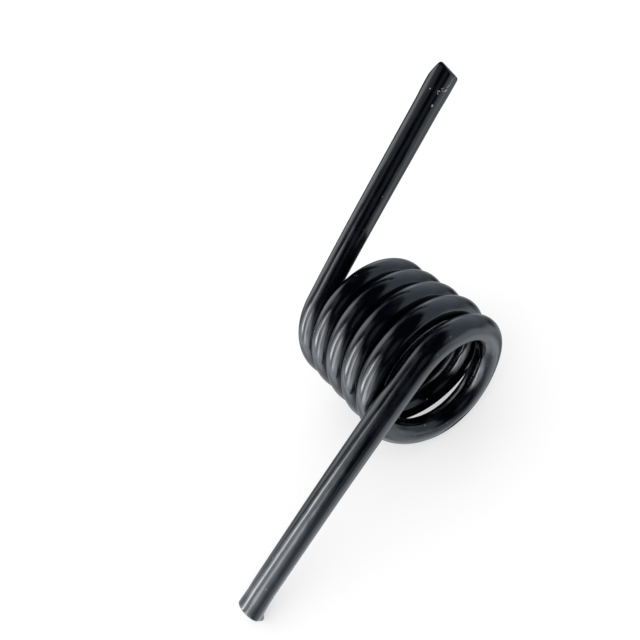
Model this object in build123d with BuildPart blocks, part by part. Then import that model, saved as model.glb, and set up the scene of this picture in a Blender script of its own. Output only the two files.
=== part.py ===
from build123d import *
import math
import os

# Torsion spring: one length of round steel wire, cold-wound into a close coil with two
# straight legs. Units are millimetres, +Z is up and the spring lies on its side on z = 0,
# carried by the undersides of its two end turns and by the tip of the front leg.
# The origin is the middle of the spring's footprint box, at floor level.

# ---------------------------------------------------------------- driving dimensions
wire_diameter = 10.0
mean_radius = 26.04            # coil axis to wire centre
pitch = 10.52                  # along the axis per turn: the turns almost touch
turns = 4.965                  # from one leg's tangent point to the other's, right-hand wound
coil_skew = (0.28, 1.13)       # the turns lean a little against the coil axis

# The front turn was sprung open and drawn in towards its leg. These are the changes of
# radius and of axial place, at marks counted in fifths of the coil's length.
turn_marks = [0.0, 0.2, 0.4, 0.6, 0.8, 1.0, 1.3, 2.0, 3.0, 4.0, 5.0]
radius_change = [-3.90, -1.82, -0.79, 1.11, 0.86, -0.25, 0.0, 0.0, 0.0, 0.0, 0.0]
axial_change = [0.01, 0.53, 0.39, 2.52, 0.09, 0.03, 0.0, 0.0, 0.0, 0.0, 0.0]

# Legs: length from the tangent point to the middle of the cut end, the small bend where the
# leg leaves the coil, its lean along the coil axis, its slow bow (per mm), the length over
# which the bend fades out, and how much of the leg's far end is exactly straight.
front_leg = {
    "length": 115.1,
    "turn_in": -0.0228,
    "lean": -0.0088,
    "bow": -0.000545,
    "ease": 19.8,
    "straight": 40.0,
}
rear_leg = {
    "length": 97.5,
    "turn_in": 0.0055,
    "lean": 0.0135,
    "bow": -0.000400,
    "ease": 18.2,
    "straight": 40.0,
}

# Sheared ends, as plane normals in the coil's frame and the plane's distance past the
# middle of the end (along the normal as given). The front leg has one slanted face, and
# the rear leg was pinched off, which left a blunt two-sided wedge.
front_cuts = [((0.1645, -1.0739, 0.3556), 0.0)]
rear_cuts = [((-1.5242, 0.9892, 0.2554), 0.0), ((0.5298, 0.9824, 0.1510), 0.62)]
end_round = 0.6                # the sheared edges are slightly rounded

# How the spring lies: the upward direction in the coil's frame, and the place of the
# footprint's middle measured from the coil's centre along the lying axes.
lying_up = (0.01747, 0.28602, 0.95806)
footprint_middle = (-0.387, -18.314, -31.420)

path_steps_per_turn = 20
leg_step = 8.0
leg_marks = 7                  # points that guide each leg's sweep
overrun = 10.0                 # wire left past each end before it is sheared


# ---------------------------------------------------------------- centreline of the wire
def natural_cubic(xs, ys):
    """Smooth curve through a short table of values."""
    n = len(xs)
    h = [xs[i + 1] - xs[i] for i in range(n - 1)]
    a, b, c, r = [0.0] * n, [1.0] * n, [0.0] * n, [0.0] * n
    for i in range(1, n - 1):
        a[i], b[i], c[i] = h[i - 1], 2 * (h[i - 1] + h[i]), h[i]
        r[i] = 6 * ((ys[i + 1] - ys[i]) / h[i] - (ys[i] - ys[i - 1]) / h[i - 1])
    for i in range(1, n):
        w = a[i] / b[i - 1]
        b[i] -= w * c[i - 1]
        r[i] -= w * r[i - 1]
    m = [0.0] * n
    m[-1] = r[-1] / b[-1]
    for i in range(n - 2, -1, -1):
        m[i] = (r[i] - c[i] * m[i + 1]) / b[i]

    def value(x):
        i = max(j for j in range(n - 1) if j == 0 or xs[j] <= x)
        u, v = xs[i + 1] - x, x - xs[i]
        return (
            (m[i] * u**3 + m[i + 1] * v**3) / (6 * h[i])
            + (ys[i] / h[i] - m[i] * h[i] / 6) * u
            + (ys[i + 1] / h[i] - m[i + 1] * h[i] / 6) * v
        )

    return value


marks = [mark * turns / 5.0 for mark in turn_marks]
radius_at = natural_cubic(marks, radius_change)
shift_at = natural_cubic(marks, axial_change)


def coil_point(t):
    """Wire centre at t turns from the front leg, in the coil's frame: X is the coil axis."""
    phi = 2 * math.pi * t
    r = mean_radius + radius_at(t)
    x = pitch * (turns / 2 - t) + shift_at(t)
    x += coil_skew[0] * math.cos(phi) + coil_skew[1] * math.sin(phi)
    return Vector(x, r * math.sin(phi), r * math.cos(phi))


def leg_points(end_t, inner_t, leg, step):
    """(distance, wire centre, direction) along a leg's bent part, outward from the coil."""
    p = coil_point(end_t)
    tangent = (p - coil_point(inner_t)).normalized()
    radial = Vector(0, p.Y, p.Z).normalized()
    out = tangent.dot(radial)
    side = (tangent - radial * out - Vector(tangent.X, 0, 0)).normalized()
    start = math.atan2(out, math.sqrt(1 - out**2 - tangent.X**2))
    total = leg["length"] - leg["straight"]
    count = round(total / 0.25)
    ds = total / count
    points = []
    for i in range(count):
        s = (i + 0.5) * ds
        fade = 1 - math.exp(-s / leg["ease"])
        angle = start + leg["turn_in"] * fade + leg["bow"] * s
        axial = tangent.X + (leg["lean"] - tangent.X) * fade
        flat = math.sqrt(1 - axial**2)
        d = (side * math.cos(angle) + radial * math.sin(angle)) * flat + Vector(axial, 0, 0)
        p = p + d * ds
        points.append(((i + 1) * ds, p, d))
    bends = round(total / step)
    return [points[round(count * (k + 1) / bends) - 1] for k in range(bends)]


front_path = leg_points(0.0, 1e-4, front_leg, leg_step)
rear_path = leg_points(turns, turns - 1e-4, rear_leg, leg_step)

# ---------------------------------------------------------------- lying frame
up = Vector(*lying_up).normalized()
along = Vector(1, 0, 0)
along = (along - up * along.dot(up)).normalized()
across = up.cross(along)
middle = Vector(*footprint_middle)


def lie_direction(v):
    return Vector(v.dot(along), v.dot(across), v.dot(up))


def lie(p):
    return lie_direction(p) - middle


steps = round(turns * path_steps_per_turn)
coil_path = [coil_point(turns * i / steps) for i in range(steps + 1)]
wire_points = [p for _, p, _ in reversed(front_path)] + coil_path + [p for _, p, _ in rear_path]
wire_points = [lie(p) for p in wire_points]


def end_middle(path, leg):
    """Middle of a leg's cut end, straight on from the bent part."""
    _, p, d = path[-1]
    return p + d * leg["straight"]


front_end = end_middle(front_path, front_leg)
rear_end = end_middle(rear_path, rear_leg)

shears = []
for end, cuts in ((front_end, front_cuts), (rear_end, rear_cuts)):
    for normal, past in cuts:
        n = Vector(*normal)
        at = end + n * (past / n.length**2)
        shears.append(Plane(origin=lie(at), z_dir=lie_direction(n.normalized())))

# ---------------------------------------------------------------- the wire
coil_start = wire_points[len(front_path)]
coil_end = wire_points[len(front_path) + steps]
front_out = lie_direction(front_path[-1][2])
rear_out = lie_direction(rear_path[-1][2])
whole = Spline(*wire_points, tangents=[front_out * -1, rear_out], mode=Mode.PRIVATE)
front_line = whole.trim(0.0, coil_start)
coil_line = whole.trim(coil_start, coil_end)
rear_line = whole.trim(coil_end, 1.0)

with BuildPart() as torsion_spring:
    # the legs' bent parts, which leave the coil along its tangents
    for line in (front_line, rear_line):
        marks_along = [line @ (i / (leg_marks - 1)) for i in range(leg_marks)]
        with BuildLine() as leg_path:
            Spline(*marks_along, tangents=[line % 0, line % 1])
        with BuildSketch(Plane(origin=line @ 0, z_dir=line % 0)):
            Circle(wire_diameter / 2)
        sweep(path=leg_path.line)
    # the legs' straight ends
    for start, out, leg in (
        (wire_points[0], front_out, front_leg),
        (wire_points[-1], rear_out, rear_leg),
    ):
        with BuildSketch(Plane(origin=start, z_dir=out)):
            Circle(wire_diameter / 2)
        extrude(amount=leg["straight"] + overrun)
    # the sheared ends: each cutter only reaches the tip it stands on
    for shear in shears:
        with Locations(shear):
            Box(
                4 * wire_diameter,
                4 * wire_diameter,
                2 * wire_diameter,
                align=(Align.CENTER, Align.CENTER, Align.MIN),
                mode=Mode.SUBTRACT,
            )
    # the burr-free rims of the sheared faces
    tips = torsion_spring.faces().filter_by(GeomType.PLANE)
    tips = [f for f in tips if (f.center() - lie(Vector(0, 0, 0))).length > 3 * mean_radius]
    rims = [e for f in tips for e in f.edges()]
    try:
        fillet(rims, end_round)
    except ValueError:
        print("sheared rims left sharp")
    print("legs", round(torsion_spring.part.volume, 1), len(torsion_spring.part.solids()))
    # the close coil between them
    with BuildSketch(Plane(origin=coil_line @ 0, z_dir=coil_line % 0)):
        Circle(wire_diameter / 2)
    sweep(path=coil_line, is_frenet=True)

torsion_spring.part.label = "torsion_spring"

os.makedirs("parts", exist_ok=True)
export_step(torsion_spring.part, "parts/torsion_spring.step")

length = whole.length + front_leg["straight"] + rear_leg["straight"]
section = math.pi * wire_diameter**2 / 4
box = torsion_spring.part.bounding_box()
print("wire length", round(length, 2), "section x length", round(section * length, 1))
print("finished volume", round(torsion_spring.part.volume, 1))
print("box", [round(v, 3) for v in (*box.min, *box.max)], "valid", torsion_spring.part.is_valid)
gap = min(
    (a - b).length
    for i, a in enumerate(wire_points)
    for b in wire_points[i + path_steps_per_turn // 2 :]
)
print("least spacing of wire centres", round(gap, 2))
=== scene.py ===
import math

import bpy
import numpy as np
from mathutils import Matrix, Vector


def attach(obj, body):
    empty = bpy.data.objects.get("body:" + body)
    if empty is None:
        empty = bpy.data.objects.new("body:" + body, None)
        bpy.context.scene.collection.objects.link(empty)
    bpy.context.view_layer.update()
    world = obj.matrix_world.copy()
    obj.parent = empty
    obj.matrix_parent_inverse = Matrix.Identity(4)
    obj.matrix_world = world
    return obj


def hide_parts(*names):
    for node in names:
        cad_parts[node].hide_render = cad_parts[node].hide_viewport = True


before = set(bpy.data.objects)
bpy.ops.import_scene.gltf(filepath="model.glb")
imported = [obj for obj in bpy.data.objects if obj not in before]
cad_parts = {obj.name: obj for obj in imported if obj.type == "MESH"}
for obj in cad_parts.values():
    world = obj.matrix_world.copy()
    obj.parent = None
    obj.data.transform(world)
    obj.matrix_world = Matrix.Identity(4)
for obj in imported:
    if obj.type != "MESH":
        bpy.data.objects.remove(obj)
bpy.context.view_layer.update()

# ------------------------------------------------------------------ the wire's centreline, as the CAD part has it (mm)
WIRE = 5.0
MEAN_RADIUS = 26.04
PITCH = 10.52
TURNS = 4.965
SKEW = (0.28, 1.13)
MARKS = np.array([0.0, 0.2, 0.4, 0.6, 0.8, 1.0, 1.3, 2.0, 3.0, 4.0, 5.0]) * TURNS / 5.0
RADIUS_CHANGE = [-3.90, -1.82, -0.79, 1.11, 0.86, -0.25, 0.0, 0.0, 0.0, 0.0, 0.0]
AXIAL_CHANGE = [0.01, 0.53, 0.39, 2.52, 0.09, 0.03, 0.0, 0.0, 0.0, 0.0, 0.0]
FRONT = dict(length=115.1, turn_in=-0.0228, lean=-0.0088, bow=-0.000545, ease=19.8, straight=40.0)
REAR = dict(length=97.5, turn_in=0.0055, lean=0.0135, bow=-0.000400, ease=18.2, straight=40.0)
UP = np.array([0.01747, 0.28602, 0.95806])
MIDDLE = np.array([-0.387, -18.314, -31.420])


def natural_cubic(xs, ys):
    n = len(xs)
    h = np.diff(xs)
    m = np.zeros((n, n))
    r = np.zeros(n)
    m[0, 0] = m[-1, -1] = 1.0
    for i in range(1, n - 1):
        m[i, i - 1 : i + 2] = h[i - 1], 2 * (h[i - 1] + h[i]), h[i]
        r[i] = 6 * ((ys[i + 1] - ys[i]) / h[i] - (ys[i] - ys[i - 1]) / h[i - 1])
    k = np.linalg.solve(m, r)

    def value(x):
        i = min(max(int(np.searchsorted(xs, x, side="right")) - 1, 0), n - 2)
        u, v = xs[i + 1] - x, x - xs[i]
        return ((k[i] * u**3 + k[i + 1] * v**3) / (6 * h[i])
                + (ys[i] / h[i] - k[i] * h[i] / 6) * u
                + (ys[i + 1] / h[i] - k[i + 1] * h[i] / 6) * v)

    return value


radius_at = natural_cubic(MARKS, RADIUS_CHANGE)
shift_at = natural_cubic(MARKS, AXIAL_CHANGE)


def unit(v):
    return np.asarray(v, float) / np.linalg.norm(v)


def coil_point(t):
    phi = 2 * math.pi * t
    r = MEAN_RADIUS + radius_at(t)
    x = PITCH * (TURNS / 2 - t) + shift_at(t) + SKEW[0] * math.cos(phi) + SKEW[1] * math.sin(phi)
    return np.array([x, r * math.sin(phi), r * math.cos(phi)])


def leg_points(end_t, inner_t, leg, reach, step):
    """Wire centres and directions from the coil outward, as far as reach."""
    p = coil_point(end_t)
    tangent = unit(p - coil_point(inner_t))
    radial = unit([0.0, p[1], p[2]])
    out = tangent @ radial
    side = unit(tangent - out * radial - np.array([tangent[0], 0, 0]))
    start = math.atan2(out, math.sqrt(1 - out**2 - tangent[0] ** 2))
    fine = 0.1
    count = int(round(reach / fine))
    found = []
    every = int(round(step / fine))
    for i in range(count):
        s = min((i + 0.5) * fine, leg["length"] - leg["straight"])
        fade = 1 - math.exp(-s / leg["ease"])
        angle = start + leg["turn_in"] * fade + leg["bow"] * s
        axial = tangent[0] + (leg["lean"] - tangent[0]) * fade
        flat = math.sqrt(1 - axial**2)
        d = (side * math.cos(angle) + radial * math.sin(angle)) * flat + np.array([axial, 0, 0])
        p = p + d * fine
        if (i + 1) % every == 0:
            found.append((p, d))
    return found, p, d


# ------------------------------------------------------------------ the lying frame
along = UP / np.linalg.norm(UP)
x_axis = unit(np.array([1.0, 0, 0]) - along * along[0])
LIE = np.stack([x_axis, np.cross(along, x_axis), along])

CUT_BACK = 14.0
front_pts, front_base, front_dir = leg_points(0.0, 1e-4, FRONT, FRONT["length"] - CUT_BACK, 0.9)
rear_pts, rear_base, rear_dir = leg_points(TURNS, TURNS - 1e-4, REAR, REAR["length"] - CUT_BACK, 0.9)
coil_count = 1100
coil = [coil_point(TURNS * i / coil_count) for i in range(coil_count + 1)]
line = np.array([p for p, _ in reversed(front_pts)] + coil + [p for p, _ in rear_pts])
line = line @ LIE.T - MIDDLE
front_out = front_dir @ LIE.T
rear_out = rear_dir @ LIE.T
front_end = (front_base + front_dir * CUT_BACK) @ LIE.T - MIDDLE
rear_end = (rear_base + rear_dir * CUT_BACK) @ LIE.T - MIDDLE

# ------------------------------------------------------------------ the wire's skin
AROUND = 64
psi = np.linspace(0, 2 * math.pi, AROUND, endpoint=False)

tangents = np.gradient(line, axis=0)
tangents /= np.linalg.norm(tangents, axis=1, keepdims=True)
tangents[0] = -front_out
tangents[-1] = rear_out
us = []
u = unit(np.cross(tangents[0], [1.0, 0.2, 0.0]))
for t in tangents:
    u = unit(u - t * (t @ u))
    us.append(u)
us = np.array(us)
vs = np.cross(tangents, us)
run = np.concatenate([[0], np.cumsum(np.linalg.norm(np.diff(line, axis=0), axis=1))])

rings = []        # (points, wire coordinates)
cosp, sinp = np.cos(psi)[:, None], np.sin(psi)[:, None]


def wire_coords(s, r=WIRE):
    """The same point on a straightened wire: two across, and one along."""
    s = np.broadcast_to(np.asarray(s, float), (AROUND,))
    r = np.broadcast_to(np.asarray(r, float), (AROUND,))
    return np.stack([r * np.cos(psi), r * np.sin(psi), s], 1)


for c, a, b, s in zip(line, us, vs, run):
    rings.append((c + WIRE * (cosp * a + sinp * b), wire_coords(s)))


def smooth_min(a, b, k):
    h = np.clip(0.5 + 0.5 * (b - a) / k, 0, 1)
    return b + (a - b) * h - k * h * (1 - h)


def ease(x):
    x = np.clip(x, 0, 1)
    return x * x * (3 - 2 * x)


def end_rings(end, out, a, b, cuts, rims, s_end, sign, swell, shift, burr=None):
    """Rings from the last whole ring over the sheared end to its middle. a and b span the section.
    rims gives how far each cut's edge is rolled over; swell is how much the shears squashed the tip."""
    cuts = [(unit(n) @ LIE.T, past) for n, past in cuts]

    def heights(rho, ang):
        q = rho[:, None] * (np.cos(ang)[:, None] * a + np.sin(ang)[:, None] * b)
        return [(past - q @ n) / (out @ n) for n, past in cuts]

    def height(rho, ang):
        hs = heights(rho, ang)
        h = hs[0]
        for other in hs[1:]:
            h = smooth_min(h, other, 0.5)
        return h

    full = np.full(AROUND, WIRE)
    wall = height(full, psi)
    if len(cuts) > 1:
        hs = heights(full, psi)
        share = np.clip(0.5 + (hs[1] - hs[0]) / 6.0, 0, 1)
    else:
        share = 0.5 - 0.5 * ((cosp * a + sinp * b) @ burr[0])
    rim = rims[0] * share + rims[1] * (1 - share)
    made = []

    def ring(rho, h, extra=0.0):
        r = rho * (1 + swell[0] / WIRE * ease((h + swell[1]) / swell[2])) + extra
        pts = end + r[:, None] * (cosp * a + sinp * b) + h[:, None] * out
        pts = pts + ease((h + CUT_BACK) / 9.0)[:, None] * shift
        pts[:, 2] = np.maximum(pts[:, 2], 0.0)
        return pts, wire_coords(s_end + sign * h, rho)

    def lip(h):
        if burr is None:
            return np.zeros(AROUND)
        towards, size, spread, reach = burr
        ang = np.arctan2(towards @ b, towards @ a)
        off = (psi - ang + math.pi) % (2 * math.pi) - math.pi
        return size * np.exp(-((off / spread) ** 2)) * ease((h - (wall - reach)) / (reach - 0.9))

    start = np.full(AROUND, -CUT_BACK)
    stop = wall - rim
    for k in range(1, 19):
        t = k / 18
        h = start * (1 - t) + stop * t
        made.append(ring(full, h, lip(h)))
    inner = full - rim
    cap = height(inner, psi)
    top = lip(wall)
    for k in range(1, 9):
        t = k / 8
        rho = (1 - t) ** 2 * full + 2 * t * (1 - t) * full + t**2 * inner
        h = (1 - t) ** 2 * stop + 2 * t * (1 - t) * wall + t**2 * cap
        made.append(ring(rho, h, top * (1 - 0.35 * t)))
    for k in range(1, 9):
        rho = inner * (1 - k / 9)
        made.append(ring(rho, height(rho, psi), top * 0.65 * (1 - k / 9) ** 3))
    middle = end + height(np.zeros(AROUND), psi)[0] * out + shift
    return made, middle


# The shears rolled the edges over, squashed the tips a little and left a burr on the front one.
burr_way = unit(np.array([0.598, 0.116, -0.793]) @ LIE.T)
side_step = unit(np.array([0.539, 0.747, -0.388]) - front_out * (front_out @ np.array([0.539, 0.747, -0.388])))
first, first_mid = end_rings(front_end + 0.66 * front_out, front_out, us[0], vs[0],
                             [((0.1393, -0.9548, 0.2625), 0.0)], (0.70, 0.98), -CUT_BACK - 0.66, -1,
                             swell=(0.203, 9.0, 7.0), shift=0.239 * side_step, burr=(burr_way, 1.53, 0.277, 4.68))
last, last_mid = end_rings(rear_end - 0.16 * rear_out, rear_out, us[-1], vs[-1],
                           [((-0.7661, 0.6410, -0.0473), 0.0), ((0.3942, 0.9074, 0.1461), 1.097)],
                           (1.97, 0.90), run[-1] + CUT_BACK - 0.16, 1,
                           swell=(0.17, 14.0, 8.0), shift=np.zeros(3))

rings = list(reversed(first)) + rings + last
verts = np.concatenate([r[0] for r in rings])
coords = np.concatenate([r[1] for r in rings])
count = len(rings)
faces = []
j = np.arange(AROUND)
jn = (j + 1) % AROUND
for i in range(count - 1):
    a0, b0 = i * AROUND, (i + 1) * AROUND
    faces.append(np.stack([a0 + j, a0 + jn, b0 + jn, b0 + j], 1))
faces = np.concatenate(faces)
n0 = len(verts)
verts = np.concatenate([verts, [first_mid], [last_mid]])
coords = np.concatenate([coords, [[0, 0, coords[0, 2]]], [[0, 0, coords[-1, 2]]]])
quads = faces.tolist()
tris = [[n0, int(k2), int(k1)] for k1, k2 in zip(j, jn)]
tris += [[n0 + 1, int((count - 1) * AROUND + k1), int((count - 1) * AROUND + k2)] for k1, k2 in zip(j, jn)]

mesh = bpy.data.meshes.new("spring_wire")
mesh.from_pydata((verts / 1000.0).tolist(), [], quads + tris)
mesh.update()
mesh.shade_smooth()
field = mesh.attributes.new("wire", "FLOAT_VECTOR", "POINT")
field.data.foreach_set("vector", (coords / 1000.0).astype(np.float32).ravel())
spring = bpy.data.objects.new("spring_wire", mesh)
bpy.context.scene.collection.objects.link(spring)
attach(spring, "root")
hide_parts("torsion_spring")

# ------------------------------------------------------------------ the coating
coat = bpy.data.materials.new("blue_black_coating")
coat.use_nodes = True
nt = coat.node_tree
nt.nodes.clear()
out = nt.nodes.new("ShaderNodeOutputMaterial")
bsdf = nt.nodes.new("ShaderNodeBsdfPrincipled")
nt.links.new(bsdf.outputs[0], out.inputs[0])
bsdf.inputs["IOR"].default_value = 1.5
mesh.materials.append(coat)

wire = nt.nodes.new("ShaderNodeAttribute")
wire.attribute_name = "wire"
place = wire.outputs["Vector"]


def put(socket, value):
    if isinstance(value, (int, float)):
        socket.default_value = value
    elif isinstance(value, (tuple, list)):
        socket.default_value = tuple(value)
    else:
        nt.links.new(value, socket)


def cmath(op, a, b=None, c=None, clamp=False):
    n = nt.nodes.new("ShaderNodeMath")
    n.operation = op
    n.use_clamp = clamp
    for k, v in enumerate((a, b, c)):
        if v is not None:
            put(n.inputs[k], v)
    return n.outputs[0]


def vmath(op, a, b=None, c=None):
    n = nt.nodes.new("ShaderNodeVectorMath")
    n.operation = op
    for k, v in enumerate((a, b, c)):
        if v is not None:
            put(n.inputs[k], v)
    return n


def cramp(v, lo, hi, to_lo=0.0, to_hi=1.0):
    n = nt.nodes.new("ShaderNodeMapRange")
    n.interpolation_type = "SMOOTHSTEP"
    if lo > hi:
        lo, hi, to_lo, to_hi = hi, lo, to_hi, to_lo
    put(n.inputs["Value"], v)
    n.inputs["From Min"].default_value = lo
    n.inputs["From Max"].default_value = hi
    n.inputs["To Min"].default_value = to_lo
    n.inputs["To Max"].default_value = to_hi
    return n.outputs["Result"]


def noise(squash, scale, detail=2.0, rough=0.5, shift=0.0):
    """Noise on the straightened wire, in metres, drawn out along it where squash is small."""
    v = vmath("MULTIPLY_ADD", place, (1.0, 1.0, squash), (shift, shift * 0.7, shift * 0.3)).outputs[0]
    n = nt.nodes.new("ShaderNodeTexNoise")
    put(n.inputs["Vector"], v)
    n.inputs["Scale"].default_value = scale
    n.inputs["Detail"].default_value = detail
    n.inputs["Roughness"].default_value = rough
    return n.outputs["Fac"]


def specks(scale, radius, share, shift=0.0):
    """Sparse round flecks: one in some of the cells."""
    v = vmath("ADD", place, (shift, -shift, shift * 0.5)).outputs[0]
    n = nt.nodes.new("ShaderNodeTexVoronoi")
    put(n.inputs["Vector"], v)
    n.inputs["Scale"].default_value = scale
    chosen = nt.nodes.new("ShaderNodeSeparateXYZ")
    put(chosen.inputs[0], n.outputs["Color"])
    spot = cramp(n.outputs["Distance"], radius * scale, radius * scale * 0.35)
    return cmath("MULTIPLY", spot, cramp(chosen.outputs[0], 1.0 - share, 1.0 - share + 0.02))


def stroke(a, b, half, strength):
    """A mark along a line between two places on the straightened wire (mm)."""
    a = [c / 1000.0 for c in a]
    b = [c / 1000.0 for c in b]
    d = [q - p for p, q in zip(a, b)]
    length2 = max(sum(c * c for c in d), 1e-12)
    rel = vmath("SUBTRACT", place, tuple(a)).outputs[0]
    t = cmath("MULTIPLY", vmath("DOT_PRODUCT", rel, tuple(d)).outputs["Value"], 1.0 / length2, clamp=True)
    back = vmath("SCALE", tuple(d))
    put(back.inputs["Scale"], t)
    off = vmath("LENGTH", vmath("SUBTRACT", rel, back.outputs[0]).outputs[0]).outputs["Value"]
    return cramp(off, half / 1000.0, half / 2500.0, 0.0, strength)


# shape of the surface: lines left by the drawing die, a slight waviness of the coating, and its grain
drawn = noise(0.006, 520.0, 2.0, 0.6)
drawn_fine = noise(0.012, 1700.0, 1.0, 0.5, 0.3)
wavy = noise(0.42, 300.0, 1.0, 0.5, 0.7)
grain = noise(0.8, 4200.0, 2.0, 0.6, 1.1)
patchy = noise(0.5, 210.0, 3.0, 0.6, 1.9)

# the sheared faces are where the straightened wire is thinner than it should be
apart = nt.nodes.new("ShaderNodeSeparateXYZ")
put(apart.inputs[0], place)
reach = cmath("SQRT", cmath("ADD", cmath("MULTIPLY", apart.outputs[0], apart.outputs[0]),
                            cmath("MULTIPLY", apart.outputs[1], apart.outputs[1])))
cut = cramp(reach, 0.00475, 0.0043)
torn_v = vmath("MULTIPLY", place, (260.0, 1500.0, 260.0)).outputs[0]
torn_n = nt.nodes.new("ShaderNodeTexNoise")
put(torn_n.inputs["Vector"], torn_v)
torn_n.inputs["Scale"].default_value = 1.0
torn_n.inputs["Detail"].default_value = 3.0
torn = torn_n.outputs["Fac"]

# dust and scuffs
dust = specks(170.0, 0.00030, 0.5)
dust = cmath("MAXIMUM", dust, cmath("MULTIPLY", specks(360.0, 0.00018, 0.6, 0.21), 0.7))
marks = None
for a, b, half, strength in (
    ((4.77, 1.42, 1001.98), (4.62, 1.86, 1002.78), 0.25, 1.0),      # nicks and a scrape at the rear tip
    ((4.75, 1.51, 1003.48), (4.60, 1.93, 1004.68), 0.21, 0.65),
    ((4.60, 1.93, 1004.68), (4.63, 1.86, 1006.98), 0.17, 0.32),
    ((4.95, -0.85, 1000.88), (5.00, -0.24, 1001.08), 0.23, 0.65),
    ((5.00, -0.11, 1002.08), (4.99, 0.30, 1002.48), 0.21, 0.55),
    ((4.98, 0.43, 1001.58), (4.92, 0.88, 1001.68), 0.20, 0.45),
    ((4.97, -0.75, 1000.38), (4.99, -0.33, 999.98), 0.21, 0.5),
    ((5.00, -0.05, 995.98), (5.00, 0.02, 995.78), 0.36, 0.85),
    ((-4.62, -1.91, -7.9), (-4.62, -1.91, -7.7), 0.40, 1.0),          # a speck at the front tip
    ((-3.83, -3.21, 1.3), (-3.83, -3.21, 1.6), 0.34, 0.4),
    ((2.5, -4.33, 148.8), (2.1, -4.54, 149.9), 0.22, 0.28),
    ((-3.80, -3.25, 114.3), (-4.15, -2.79, 114.5), 0.22, 0.2),
):
    m = stroke(a, b, half, strength)
    marks = m if marks is None else cmath("MAXIMUM", marks, m)
marks = cmath("MULTIPLY", marks, cramp(grain, 0.3, 0.55, 0.55, 1.0))
loose = cmath("MAXIMUM", dust, marks)

# colour: blue-black, with a faint bluish film in patches, and pale dust
film = cramp(patchy, 0.48, 0.72)
tone = nt.nodes.new("ShaderNodeMix")
tone.data_type = "RGBA"
put(tone.inputs["Factor"], film)
tone.inputs["A"].default_value = (0.0006, 0.0008, 0.0016, 1)
tone.inputs["B"].default_value = (0.0042, 0.0044, 0.0078, 1)
faced = nt.nodes.new("ShaderNodeMix")
faced.data_type = "RGBA"
put(faced.inputs["Factor"], cmath("MULTIPLY", cut, cramp(torn, 0.35, 0.7)))
put(faced.inputs["A"], tone.outputs["Result"])
faced.inputs["B"].default_value = (0.014, 0.0145, 0.016, 1)
dusted = nt.nodes.new("ShaderNodeMix")
dusted.data_type = "RGBA"
put(dusted.inputs["Factor"], loose)
put(dusted.inputs["A"], faced.outputs["Result"])
dusted.inputs["B"].default_value = (0.36, 0.37, 0.38, 1)
put(bsdf.inputs["Base Color"], dusted.outputs["Result"])

# gloss: smooth, a little duller in patches, along the drawn lines and on the sheared faces
gloss = cramp(patchy, 0.3, 0.75, 0.10, 0.155)
gloss = cmath("ADD", gloss, cramp(drawn_fine, 0.35, 0.75, 0.0, 0.05))
gloss = cmath("ADD", gloss, cmath("MULTIPLY", cut, cramp(torn, 0.3, 0.7, 0.10, 0.28)))
gloss = cmath("MAXIMUM", gloss, cmath("MULTIPLY", loose, 0.7))
put(bsdf.inputs["Roughness"], gloss)


def bump(height, distance, base=None, strength=1.0):
    n = nt.nodes.new("ShaderNodeBump")
    n.inputs["Strength"].default_value = strength
    n.inputs["Distance"].default_value = distance
    put(n.inputs["Height"], height)
    if base is not None:
        nt.links.new(base, n.inputs["Normal"])
    return n.outputs[0]


skin = bump(drawn, 0.000085)
skin = bump(drawn_fine, 0.000010, skin)
skin = bump(wavy, 0.000110, skin)
skin = bump(grain, 0.0000035, skin)
skin = bump(cmath("MULTIPLY", cut, torn), 0.00035, skin)
skin = bump(loose, 0.00005, skin)
put(bsdf.inputs["Normal"], skin)

# ------------------------------------------------------------------ floor
floor_mesh = bpy.data.meshes.new("floor")
side = 4.0
floor_mesh.from_pydata([(-side, -side, 0), (side, -side, 0), (side, side, 0), (-side, side, 0)], [], [(0, 1, 2, 3)])
floor = bpy.data.objects.new("floor", floor_mesh)
floor.location.z = -0.0003
bpy.context.scene.collection.objects.link(floor)
floor.visible_glossy = False
paper = bpy.data.materials.new("pale_floor")
paper.use_nodes = True
pb = paper.node_tree.nodes["Principled BSDF"]
pb.inputs["Base Color"].default_value = (0.5, 0.5, 0.5, 1)
pb.inputs["Roughness"].default_value = 0.95
pb.inputs["Specular IOR Level"].default_value = 0.0
pb.inputs["Emission Color"].default_value = (1, 1, 1, 1)
pb.inputs["Emission Strength"].default_value = 0.52
floor_mesh.materials.append(paper)

# black cards, seen only in reflections: the shade under the coil, and the neighbour behind it
dark = bpy.data.materials.new("black_card")
dark.use_nodes = True
db = dark.node_tree.nodes["Principled BSDF"]
db.inputs["Base Color"].default_value = (0.01, 0.01, 0.012, 1)
db.inputs["Roughness"].default_value = 1.0
db.inputs["Specular IOR Level"].default_value = 0.0


def card(name, points):
    m = bpy.data.meshes.new(name)
    m.from_pydata(points, [], [tuple(range(len(points)))])
    m.materials.append(dark)
    o = bpy.data.objects.new(name, m)
    bpy.context.scene.collection.objects.link(o)
    o.visible_camera = False
    o.visible_diffuse = False
    o.visible_shadow = False
    o.visible_transmission = False


ring = [(0.030 * math.cos(t), 0.0185 + 0.027 * math.sin(t), -0.0002)
        for t in np.linspace(0, 2 * math.pi, 48, endpoint=False)]
card("shade_card", [tuple(float(c) for c in p) for p in ring])
card("neighbour_card", [(-0.06, 0.002, 0.0), (-0.06, 0.042, 0.0), (-0.06, 0.042, 0.040), (-0.06, 0.002, 0.040)])

# ------------------------------------------------------------------ studio light
world = bpy.data.worlds.new("studio")
bpy.context.scene.world = world
world.cycles.sampling_method = "NONE"
world.use_nodes = True
wt = world.node_tree
wt.nodes.clear()
w_out = wt.nodes.new("ShaderNodeOutputWorld")
w_bg = wt.nodes.new("ShaderNodeBackground")
coord = wt.nodes.new("ShaderNodeTexCoord")


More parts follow.
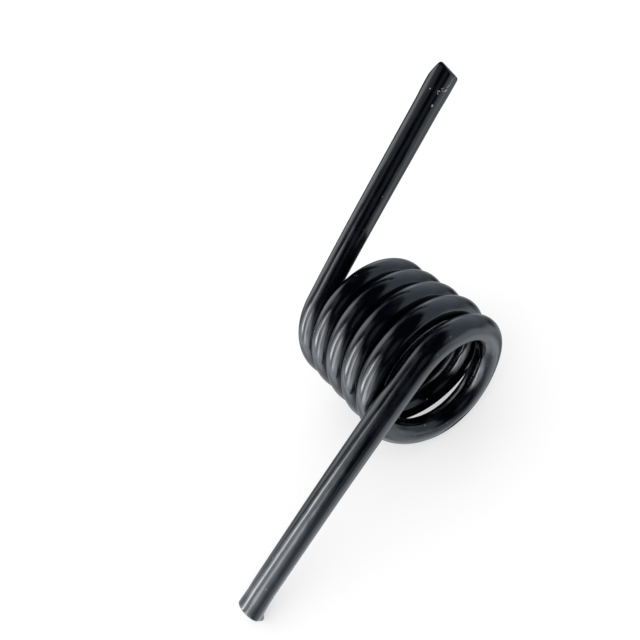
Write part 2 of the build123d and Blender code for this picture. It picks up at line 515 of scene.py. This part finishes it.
def wmath(op, a, b=None, c=None):
    n = wt.nodes.new("ShaderNodeMath")
    n.operation = op
    for k, v in enumerate((a, b, c)):
        if v is None:
            continue
        if isinstance(v, (int, float)):
            n.inputs[k].default_value = v
        else:
            wt.links.new(v, n.inputs[k])
    return n.outputs[0]


def wramp(v, lo, hi):
    """0 below lo and 1 above hi, smoothly. lo may be above hi."""
    n = wt.nodes.new("ShaderNodeMapRange")
    n.interpolation_type = "SMOOTHSTEP"
    flip = lo > hi
    if flip:
        lo, hi = hi, lo
    n.inputs["From Min"].default_value = lo
    n.inputs["From Max"].default_value = hi
    n.inputs["To Min"].default_value = 1.0 if flip else 0.0
    n.inputs["To Max"].default_value = 0.0 if flip else 1.0
    wt.links.new(v, n.inputs["Value"])
    return n.outputs["Result"]


sep = wt.nodes.new("ShaderNodeSeparateXYZ")
wt.links.new(coord.outputs["Generated"], sep.inputs[0])
wx, wy, wz = sep.outputs
elev = wmath("DEGREES", wmath("ARCSINE", wz))


def patch(az, el, half_az, half_el, soft_az, soft_el, slope=0.0, round_=False, arch=0.0, soft_low=None):
    c, s = math.cos(math.radians(az)), math.sin(math.radians(az))
    ahead = wmath("ADD", wmath("MULTIPLY", wx, c), wmath("MULTIPLY", wy, s))
    aside = wmath("ADD", wmath("MULTIPLY", wx, -s), wmath("MULTIPLY", wy, c))
    rel = wmath("DEGREES", wmath("ARCTAN2", aside, ahead))
    up = wmath("SUBTRACT", elev, el)
    if slope:
        rel = wmath("SUBTRACT", rel, wmath("MULTIPLY", up, slope))
    if round_:
        rr = wmath("SQRT", wmath("ADD", wmath("POWER", wmath("ABSOLUTE", wmath("DIVIDE", rel, half_az)), 2.0),
                                 wmath("POWER", wmath("ABSOLUTE", wmath("DIVIDE", up, half_el)), 2.0)))
        return wramp(rr, 1 + soft_az / half_az, 1 - soft_az / half_az)
    m1 = wramp(wmath("ABSOLUTE", rel), half_az + soft_az, half_az - soft_az)
    top = up if not arch else wmath("ADD", up, wmath("MULTIPLY", wmath("MULTIPLY", rel, rel), arch))
    low = soft_el if soft_low is None else soft_low
    m2 = wmath("MULTIPLY", wramp(top, half_el + soft_el, half_el - soft_el), wramp(up, -half_el - low, -half_el + low))
    return wmath("MULTIPLY", m1, m2)


def layer(total, mask, strength, tint=(1, 1, 1)):
    """Adds a light of this strength and colour where the mask is."""
    n = wt.nodes.new("ShaderNodeVectorMath")
    n.operation = "MULTIPLY_ADD"
    comb = wt.nodes.new("ShaderNodeCombineXYZ")
    for k in range(3):
        wt.links.new(mask, comb.inputs[k])
    wt.links.new(comb.outputs[0], n.inputs[0])
    n.inputs[1].default_value = tuple(strength * t for t in tint)
    if total is None:
        n.inputs[2].default_value = (0.006, 0.008, 0.015)
    else:
        wt.links.new(total, n.inputs[2])
    return n.outputs[0]


def dim(total, mask, share):
    """Takes this share of the light away where the mask is."""
    keep = wmath("SUBTRACT", 1.0, wmath("MULTIPLY", mask, share))
    n = wt.nodes.new("ShaderNodeVectorMath")
    n.operation = "SCALE"
    wt.links.new(total, n.inputs[0])
    wt.links.new(keep, n.inputs["Scale"])
    return n.outputs[0]


BLUISH = (0.87, 1.0, 1.16)
COOL = (0.93, 1.0, 1.07)
PLAIN = (0.98, 1.0, 1.03)
light = layer(None, patch(86, 17, 58, 29.5, 8, 5, arch=0.0048, soft_low=9), 0.78, BLUISH)  # pale wall behind
light = layer(light, patch(108, 14, 24, 19, 24, 12), 0.24, BLUISH)
light = layer(light, patch(112, 43, 16, 5, 9, 5), 0.35, BLUISH)
light = layer(light, patch(135, 38, 10, 7, 7, 6), 0.4, BLUISH)
light = layer(light, patch(145, 0, 9, 9, 6, 8), 0.95, COOL)                       # where it meets the floor
light = layer(light, patch(166, 24, 11, 15, 8, 9), 0.35, COOL)
light = layer(light, wramp(elev, -4.0, -25.0), 0.55, COOL)                       # the floor, as reflections see it
light = layer(light, wramp(elev, -72.0, -85.0), 0.24, COOL)
light = layer(light, patch(9, -51, 35, 25, 24, 10), 1.06, COOL)                   # its brighter side
light = layer(light, patch(-70, -68, 42, 11, 24, 9), 0.75, COOL)
light = layer(light, patch(-97, -38, 42, 24, 22, 11), 0.52, COOL)
light = layer(light, patch(-127, -15, 10, 9, 7, 7), 0.7, COOL)
light = layer(light, patch(37, -18, 15, 12, 7, 7), 1.0, COOL)
light = layer(light, patch(19, -3, 12, 12, 7, 8), 1.05, COOL)
light = layer(light, patch(3, -15, 18, 7, 9, 7), 0.3, COOL)
light = layer(light, patch(62, -40, 14, 11, 9, 8), 0.4, COOL)
light = layer(light, patch(-108, 68, 40, 10, 14, 8), 0.42, COOL)                  # upper edge of the lit side
light = layer(light, patch(-141, 58, 13, 11, 9, 8), 0.42, COOL)
light = layer(light, patch(-88, 10, 40, 42, 10, 12, round_=True), 2.2, COOL)      # glow around the two strip lights
light = layer(light, patch(-109.5, 19, 5.8, 21, 4, 6, slope=0.27), 10.6, PLAIN)   # first strip light
light = layer(light, patch(-100, 45, 6, 9, 5, 6, slope=0.5), 5.0, PLAIN)
light = layer(light, patch(-125, 12, 5, 13, 5, 8), 1.7, COOL)
light = layer(light, patch(-123, 28, 8, 12, 6, 8), 1.0, COOL)
light = layer(light, patch(-137, -6, 11, 17, 7, 9), 1.1, COOL)
light = layer(light, patch(-86, 30, 7, 10, 5, 7), 1.4, PLAIN)
light = layer(light, patch(-77, 9, 8.5, 21, 5, 7, slope=0.60), 6.5, PLAIN)        # second strip light
light = layer(light, patch(-69, -8, 9, 8, 6, 7), 2.2, COOL)
light = layer(light, patch(-50, 3, 11, 16, 7, 9), 1.6, COOL)
light = layer(light, patch(-30, -6, 10, 9, 7, 7), 0.55, BLUISH)
light = layer(light, patch(-162, 25, 21, 25, 10, 11, round_=True), 2.25, COOL)    # soft window
light = layer(light, patch(-158, 0, 12, 8, 7, 7), 0.4, COOL)
light = layer(light, patch(-14, 34, 15, 15, 8, 8, round_=True), 0.25, BLUISH)     # a little light past the camera
light = dim(light, patch(98, -33, 15, 8, 9, 9), 0.86)                            # shade behind the coil
light = dim(light, patch(98, -64, 28, 7, 16, 7), 0.42)
light = dim(light, patch(174, -40, 24, 28, 14, 12), 0.35)

path = wt.nodes.new("ShaderNodeLightPath")


def choose(when, yes, no):
    n = wt.nodes.new("ShaderNodeMix")
    n.data_type = "RGBA"
    wt.links.new(when, n.inputs["Factor"])
    for socket, v in ((n.inputs["A"], no), (n.inputs["B"], yes)):
        if isinstance(v, tuple):
            socket.default_value = v
        else:
            wt.links.new(v, socket)
    return n.outputs["Result"]


soft = choose(path.outputs["Is Diffuse Ray"], (1.12, 1.12, 1.125, 1), light)
seen = choose(path.outputs["Is Camera Ray"], (1.05, 1.05, 1.055, 1), soft)
wt.links.new(seen, w_bg.inputs["Color"])
w_bg.inputs["Strength"].default_value = 1.0
wt.links.new(w_bg.outputs[0], w_out.inputs[0])

# ------------------------------------------------------------------ camera
cam_data = bpy.data.cameras.new("camera")
cam_data.sensor_width = 36.0
cam_data.lens = 36.0 * 545.408 / 640.0
cam = bpy.data.objects.new("camera", cam_data)
right = Vector((0.53938, 0.74726, -0.38815)).normalized()
fwd = Vector((-0.67388, 0.10665, -0.73111)).normalized()
up = right.cross(fwd).normalized()
right = fwd.cross(up).normalized()
place = Matrix((right, up, -fwd)).transposed().to_4x4()
place.translation = Vector((0.125550, -0.021790, 0.210168))
cam.matrix_world = place
cam_data.clip_start = 0.01
cam_data.clip_end = 50.0
bpy.context.scene.collection.objects.link(cam)
bpy.context.scene.camera = cam

bpy.context.scene.view_settings.view_transform = "Standard"
bpy.context.scene.view_settings.look = "None"
